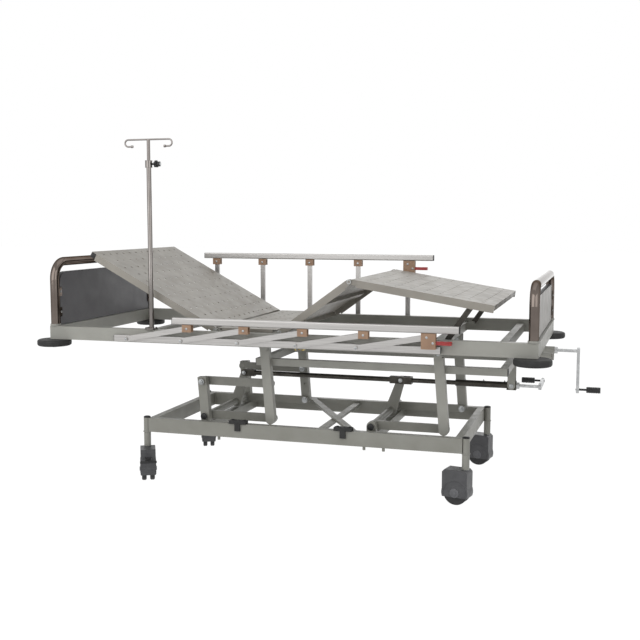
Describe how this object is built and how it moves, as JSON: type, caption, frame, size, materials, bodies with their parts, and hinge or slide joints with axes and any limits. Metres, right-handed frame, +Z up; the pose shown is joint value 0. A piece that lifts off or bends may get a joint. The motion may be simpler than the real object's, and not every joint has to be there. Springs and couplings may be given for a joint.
{
  "type": "intensive care bed",
  "caption": "Crank-operated intensive care bed with parallel-arm lift, tilting frame, perforated four-part deck, folding side rails, IV pole and swivel castors.",
  "frame": {"origin": "on the floor, at the centre of the bed's footprint with the back crank", "axes": "+X along the bed towards the foot end, +Y across the bed towards the far side rail, +Z up"},
  "size_m": [2.331, 1.0436, 1.4535],
  "materials": {
    "frame_paint": "light grey powder coat",
    "arm_paint": "light grey powder coat",
    "black_rubber": "moulded, matt",
    "castor_plastic": "dark grey moulded",
    "tyre_rubber": "moulded",
    "black_plastic": "moulded",
    "screw_steel": "oiled steel",
    "nut_brass": "turned",
    "deck_paint": "light grey powder coat",
    "chrome": "polished",
    "head_laminate": "dark laminate on board",
    "foot_laminate": "grey laminate on board",
    "rail_silver": "satin anodised",
    "cap_tan": "tan moulded",
    "release_red": "red moulded"
  },
  "bodies": {
    "base": {"base_frame": "frame_paint", "lift_stands": "frame_paint", "base_stops": "black_rubber"},
    "head_rocker": {"head_rocker": "arm_paint"},
    "foot_rocker": {"foot_rocker": "arm_paint"},
    "upper_arms": {"head_upper_arms": "arm_paint"},
    "tie_rod": {"tie_rod": "screw_steel"},
    "height_screw": {"height_screw_tube": "screw_steel"},
    "height_nut": {"height_nut_tube": "screw_steel"},
    "lift_frame": {"lift_frame": "frame_paint"},
    "tilt_jacks": {"tilt_jacks": "screw_steel"},
    "bed": {"bed_frame": "frame_paint", "bumpers": "black_rubber", "seat_panel": "deck_paint", "head_bow": "chrome", "foot_bow": "chrome", "head_board": "head_laminate", "foot_board": "foot_laminate", "iv_tube": "chrome", "near_rail_base": "rail_silver", "far_rail_base": "rail_silver"},
    "back_panel": {"back_panel": "deck_paint"},
    "thigh_panel": {"thigh_panel": "deck_paint"},
    "calf_panel": {"calf_panel": "deck_paint"},
    "back_nut": {"back_nut": "nut_brass"},
    "knee_nut": {"knee_nut": "nut_brass"},
    "calf_stays": {"calf_stays": "arm_paint"},
    "iv_rod": {"iv_rod": "chrome"},
    "iv_knob": {"iv_knob": "black_plastic"},
    "back_crank": {"back_crank": "screw_steel"},
    "back_crank_handle": {"back_crank_handle": "black_plastic"},
    "knee_screw": {"knee_screw": "screw_steel"},
    "height_crank": {"height_crank": "screw_steel"},
    "height_crank_handle": {"height_crank_handle": "black_plastic"},
    "castor_1": {"castor_hood_1": "castor_plastic"},
    "wheels_1": {"castor_wheels_1": "tyre_rubber"},
    "brake_pedal_1": {"brake_pedal_1": "black_plastic"},
    "castor_2": {"castor_hood_2": "castor_plastic"},
    "wheels_2": {"castor_wheels_2": "tyre_rubber"},
    "castor_3": {"castor_hood_3": "castor_plastic"},
    "wheels_3": {"castor_wheels_3": "tyre_rubber"},
    "castor_4": {"castor_hood_4": "castor_plastic"},
    "wheels_4": {"castor_wheels_4": "tyre_rubber"},
    "brake_pedal_4": {"brake_pedal_4": "black_plastic"},
    "near_top_rail": {"near_top_rail": "rail_silver", "near_rail_caps": "cap_tan"},
    "near_release": {"near_release": "release_red"},
    "near_post_1": {"near_rail_post_1": "rail_silver"},
    "near_post_2": {"near_rail_post_2": "rail_silver"},
    "near_post_3": {"near_rail_post_3": "rail_silver"},
    "near_post_4": {"near_rail_post_4": "rail_silver"},
    "near_post_5": {"near_rail_post_5": "rail_silver"},
    "far_top_rail": {"far_top_rail": "rail_silver", "far_rail_caps": "cap_tan"},
    "far_release": {"far_release": "release_red"},
    "far_post_1": {"far_rail_post_1": "rail_silver"},
    "far_post_2": {"far_rail_post_2": "rail_silver"},
    "far_post_3": {"far_rail_post_3": "rail_silver"},
    "far_post_4": {"far_rail_post_4": "rail_silver"},
    "far_post_5": {"far_rail_post_5": "rail_silver"}
  },
  "joints": [
    {"name": "castor_1_swivel", "type": "hinge", "parent": "base", "child": "castor_1", "pos_m": [-0.7205, -0.329, 0.142], "axis": [0, 0, 1], "continuous": true},
    {"name": "castor_1_roll", "type": "hinge", "parent": "castor_1", "child": "wheels_1", "pos_m": [-0.70454, -0.35902, 0.05], "axis": [0.8829, 0.4695, 0], "continuous": true},
    {"name": "brake_1", "type": "hinge", "parent": "castor_1", "child": "brake_pedal_1", "pos_m": [-0.67402, -0.41641, 0.104], "axis": [0.8829, 0.4695, 0], "range_deg": [0, 20]},
    {"name": "castor_2_swivel", "type": "hinge", "parent": "base", "child": "castor_2", "pos_m": [0.6675, -0.329, 0.142], "axis": [0, 0, 1], "continuous": true},
    {"name": "castor_2_roll", "type": "hinge", "parent": "castor_2", "child": "wheels_2", "pos_m": [0.63424, -0.32193, 0.05], "axis": [-0.2079, -0.9781, 0], "continuous": true},
    {"name": "castor_3_swivel", "type": "hinge", "parent": "base", "child": "castor_3", "pos_m": [-0.7205, 0.329, 0.142], "axis": [0, 0, 1], "continuous": true},
    {"name": "castor_3_roll", "type": "hinge", "parent": "castor_3", "child": "wheels_3", "pos_m": [-0.70667, 0.29794, 0.05], "axis": [0.9135, 0.4067, 0], "continuous": true},
    {"name": "castor_4_swivel", "type": "hinge", "parent": "base", "child": "castor_4", "pos_m": [0.6675, 0.329, 0.142], "axis": [0, 0, 1], "continuous": true},
    {"name": "castor_4_roll", "type": "hinge", "parent": "castor_4", "child": "wheels_4", "pos_m": [0.63424, 0.33607, 0.05], "axis": [-0.2079, -0.9781, 0], "continuous": true},
    {"name": "brake_4", "type": "hinge", "parent": "castor_4", "child": "brake_pedal_4", "pos_m": [0.57066, 0.34958, 0.104], "axis": [-0.2079, -0.9781, 0], "range_deg": [0, 20]},
    {"name": "height", "type": "hinge", "parent": "base", "child": "head_rocker", "pos_m": [-0.4765, 0, 0.276], "axis": [0, -1, 0], "range_deg": [0, 38]},
    {"name": "foot_arms", "type": "hinge", "parent": "base", "child": "foot_rocker", "pos_m": [0.2665, 0, 0.276], "axis": [0, -1, 0], "range_deg": [0, 38]},
    {"name": "upper_arms_pivot", "type": "hinge", "parent": "base", "child": "upper_arms", "pos_m": [-0.48879, 0, 0.4255], "axis": [0, -1, 0], "range_deg": [0, 38]},
    {"name": "lift_frame_level", "type": "hinge", "parent": "head_rocker", "child": "lift_frame", "pos_m": [-0.1765, 0, 0.276], "axis": [0, -1, 0], "range_deg": [-38, 0]},
    {"name": "tie_rod_level", "type": "hinge", "parent": "head_rocker", "child": "tie_rod", "pos_m": [-0.43066, 0.1, 0.41462], "axis": [0, -1, 0], "range_deg": [-38, 0]},
    {"name": "height_screw_swing", "type": "hinge", "parent": "lift_frame", "child": "height_screw", "pos_m": [0.7975, 0.1, 0.41462], "axis": [0, -1, 0], "range_deg": [0, 19.81]},
    {"name": "height_nut_travel", "type": "slide", "parent": "height_screw", "child": "height_nut", "axis": [-1, 0, 0], "range_m": [0, 0.06389]},
    {"name": "height_crank_spin", "type": "hinge", "parent": "height_screw", "child": "height_crank", "pos_m": [0.9165, 0.1, 0.41462], "axis": [1, 0, 0], "continuous": true},
    {"name": "height_handle_fold", "type": "hinge", "parent": "height_crank", "child": "height_crank_handle", "pos_m": [0.9165, 0.26, 0.41462], "axis": [0, 0, 1], "range_deg": [-180, 0]},
    {"name": "tilt", "type": "hinge", "parent": "lift_frame", "child": "bed", "pos_m": [-0.20215, 0, 0.588], "axis": [0, -1, 0], "range_deg": [0, 8]},
    {"name": "tilt_jacks_travel", "type": "slide", "parent": "lift_frame", "child": "tilt_jacks", "axis": [-0.0819, 0, 0.9966], "range_m": [0, 0.104]},
    {"name": "back", "type": "hinge", "parent": "bed", "child": "back_panel", "pos_m": [-0.3635, 0, 0.668], "axis": [0, 1, 0], "range_deg": [-28.4, 41.6]},
    {"name": "back_nut_travel", "type": "slide", "parent": "bed", "child": "back_nut", "axis": [1, 0, 0], "range_m": [-0.0667, 0.0456]},
    {"name": "thigh", "type": "hinge", "parent": "bed", "child": "thigh_panel", "pos_m": [-0.0835, 0, 0.668], "axis": [0, -1, 0], "range_deg": [-36, 4]},
    {"name": "calf", "type": "hinge", "parent": "thigh_panel", "child": "calf_panel", "pos_m": [0.20775, 0, 0.8796], "axis": [0, 1, 0], "range_deg": [-45.15, 5.06]},
    {"name": "calf_stay_swing", "type": "hinge", "parent": "bed", "child": "calf_stays", "pos_m": [0.5885, 0, 0.6486], "axis": [0, -1, 0], "range_deg": [-53.69, 6.01]},
    {"name": "knee_nut_travel", "type": "slide", "parent": "bed", "child": "knee_nut", "axis": [1, 0, 0], "range_m": [-0.0523, 0.006]},
    {"name": "back_crank_spin", "type": "hinge", "parent": "bed", "child": "back_crank", "pos_m": [1.0745, 0, 0.588], "axis": [1, 0, 0], "continuous": true},
    {"name": "back_handle_fold", "type": "hinge", "parent": "back_crank", "child": "back_crank_handle", "pos_m": [1.0745, 0, 0.428], "axis": [0, 1, 0], "range_deg": [0, 180]},
    {"name": "knee_screw_spin", "type": "hinge", "parent": "bed", "child": "knee_screw", "pos_m": [0.9885, -0.2, 0.588], "axis": [1, 0, 0], "continuous": true},
    {"name": "near_rail_fold", "type": "hinge", "parent": "bed", "child": "near_post_1", "pos_m": [-0.7285, -0.482, 0.63], "axis": [0, -1, 0], "range_deg": [0, 79.5]},
    {"name": "near_post_2_fold", "type": "hinge", "parent": "bed", "child": "near_post_2", "pos_m": [-0.4815, -0.482, 0.63], "axis": [0, -1, 0], "range_deg": [0, 79.5]},
    {"name": "near_post_3_fold", "type": "hinge", "parent": "bed", "child": "near_post_3", "pos_m": [-0.2345, -0.482, 0.63], "axis": [0, -1, 0], "range_deg": [0, 79.5]},
    {"name": "near_post_4_fold", "type": "hinge", "parent": "bed", "child": "near_post_4", "pos_m": [0.0125, -0.482, 0.63], "axis": [0, -1, 0], "range_deg": [0, 79.5]},
    {"name": "near_post_5_fold", "type": "hinge", "parent": "bed", "child": "near_post_5", "pos_m": [0.2595, -0.482, 0.63], "axis": [0, -1, 0], "range_deg": [0, 79.5]},
    {"name": "near_rail_level", "type": "hinge", "parent": "near_post_1", "child": "near_top_rail", "pos_m": [-0.45122, -0.482, 0.68139], "axis": [0, -1, 0], "range_deg": [-79.5, 0]},
    {"name": "near_release_lift", "type": "hinge", "parent": "near_top_rail", "child": "near_release", "pos_m": [0.56078, -0.482, 0.66039], "axis": [0, -1, 0], "range_deg": [0, 12], "stiffness_Nm_per_rad": 0.4, "springref_deg": -5.73},
    {"name": "far_rail_fold", "type": "hinge", "parent": "bed", "child": "far_post_1", "pos_m": [-0.7285, 0.482, 0.63], "axis": [0, 1, 0], "range_deg": [0, 79.5]},
    {"name": "far_post_2_fold", "type": "hinge", "parent": "bed", "child": "far_post_2", "pos_m": [-0.4815, 0.482, 0.63], "axis": [0, 1, 0], "range_deg": [0, 79.5]},
    {"name": "far_post_3_fold", "type": "hinge", "parent": "bed", "child": "far_post_3", "pos_m": [-0.2345, 0.482, 0.63], "axis": [0, 1, 0], "range_deg": [0, 79.5]},
    {"name": "far_post_4_fold", "type": "hinge", "parent": "bed", "child": "far_post_4", "pos_m": [0.0125, 0.482, 0.63], "axis": [0, 1, 0], "range_deg": [0, 79.5]},
    {"name": "far_post_5_fold", "type": "hinge", "parent": "bed", "child": "far_post_5", "pos_m": [0.2595, 0.482, 0.63], "axis": [0, 1, 0], "range_deg": [0, 79.5]},
    {"name": "far_rail_level", "type": "hinge", "parent": "far_post_1", "child": "far_top_rail", "pos_m": [-0.7285, 0.482, 0.912], "axis": [0, 1, 0], "range_deg": [-79.5, 0]},
    {"name": "far_release_lift", "type": "hinge", "parent": "far_top_rail", "child": "far_release", "pos_m": [0.2835, 0.482, 0.891], "axis": [0, -1, 0], "range_deg": [0, 12], "stiffness_Nm_per_rad": 0.4, "springref_deg": -5.73},
    {"name": "iv_rod_height", "type": "slide", "parent": "bed", "child": "iv_rod", "axis": [0, 0, 1], "range_m": [-0.05, 0.45]},
    {"name": "iv_knob_turn", "type": "hinge", "parent": "bed", "child": "iv_knob", "pos_m": [-0.6365, -0.435, 1.35], "axis": [1, 0, 0], "continuous": true}
  ],
  "couplings": [
    {"joint": "foot_arms", "follows": "height", "ratio": 1},
    {"joint": "upper_arms_pivot", "follows": "height", "ratio": 1},
    {"joint": "lift_frame_level", "follows": "height", "ratio": -1},
    {"joint": "tie_rod_level", "follows": "height", "ratio": -1},
    {"joint": "height_screw_swing", "follows": "height", "ratio": 0.521},
    {"joint": "height_nut_travel", "follows": "height", "m_per_rad": 0.0963},
    {"joint": "tilt_jacks_travel", "follows": "tilt", "m_per_rad": 0.74309},
    {"joint": "back_nut_travel", "follows": "back", "m_per_rad": -0.0916},
    {"joint": "calf", "follows": "thigh", "ratio": 1.2528},
    {"joint": "calf_stay_swing", "follows": "thigh", "ratio": 1.49},
    {"joint": "knee_nut_travel", "follows": "thigh", "m_per_rad": 0.0829},
    {"joint": "near_post_2_fold", "follows": "near_rail_fold", "ratio": 1},
    {"joint": "near_post_3_fold", "follows": "near_rail_fold", "ratio": 1},
    {"joint": "near_post_4_fold", "follows": "near_rail_fold", "ratio": 1},
    {"joint": "near_post_5_fold", "follows": "near_rail_fold", "ratio": 1},
    {"joint": "near_rail_level", "follows": "near_rail_fold", "ratio": -1},
    {"joint": "far_post_2_fold", "follows": "far_rail_fold", "ratio": 1},
    {"joint": "far_post_3_fold", "follows": "far_rail_fold", "ratio": 1},
    {"joint": "far_post_4_fold", "follows": "far_rail_fold", "ratio": 1},
    {"joint": "far_post_5_fold", "follows": "far_rail_fold", "ratio": 1},
    {"joint": "far_rail_level", "follows": "far_rail_fold", "ratio": -1}
  ]
}
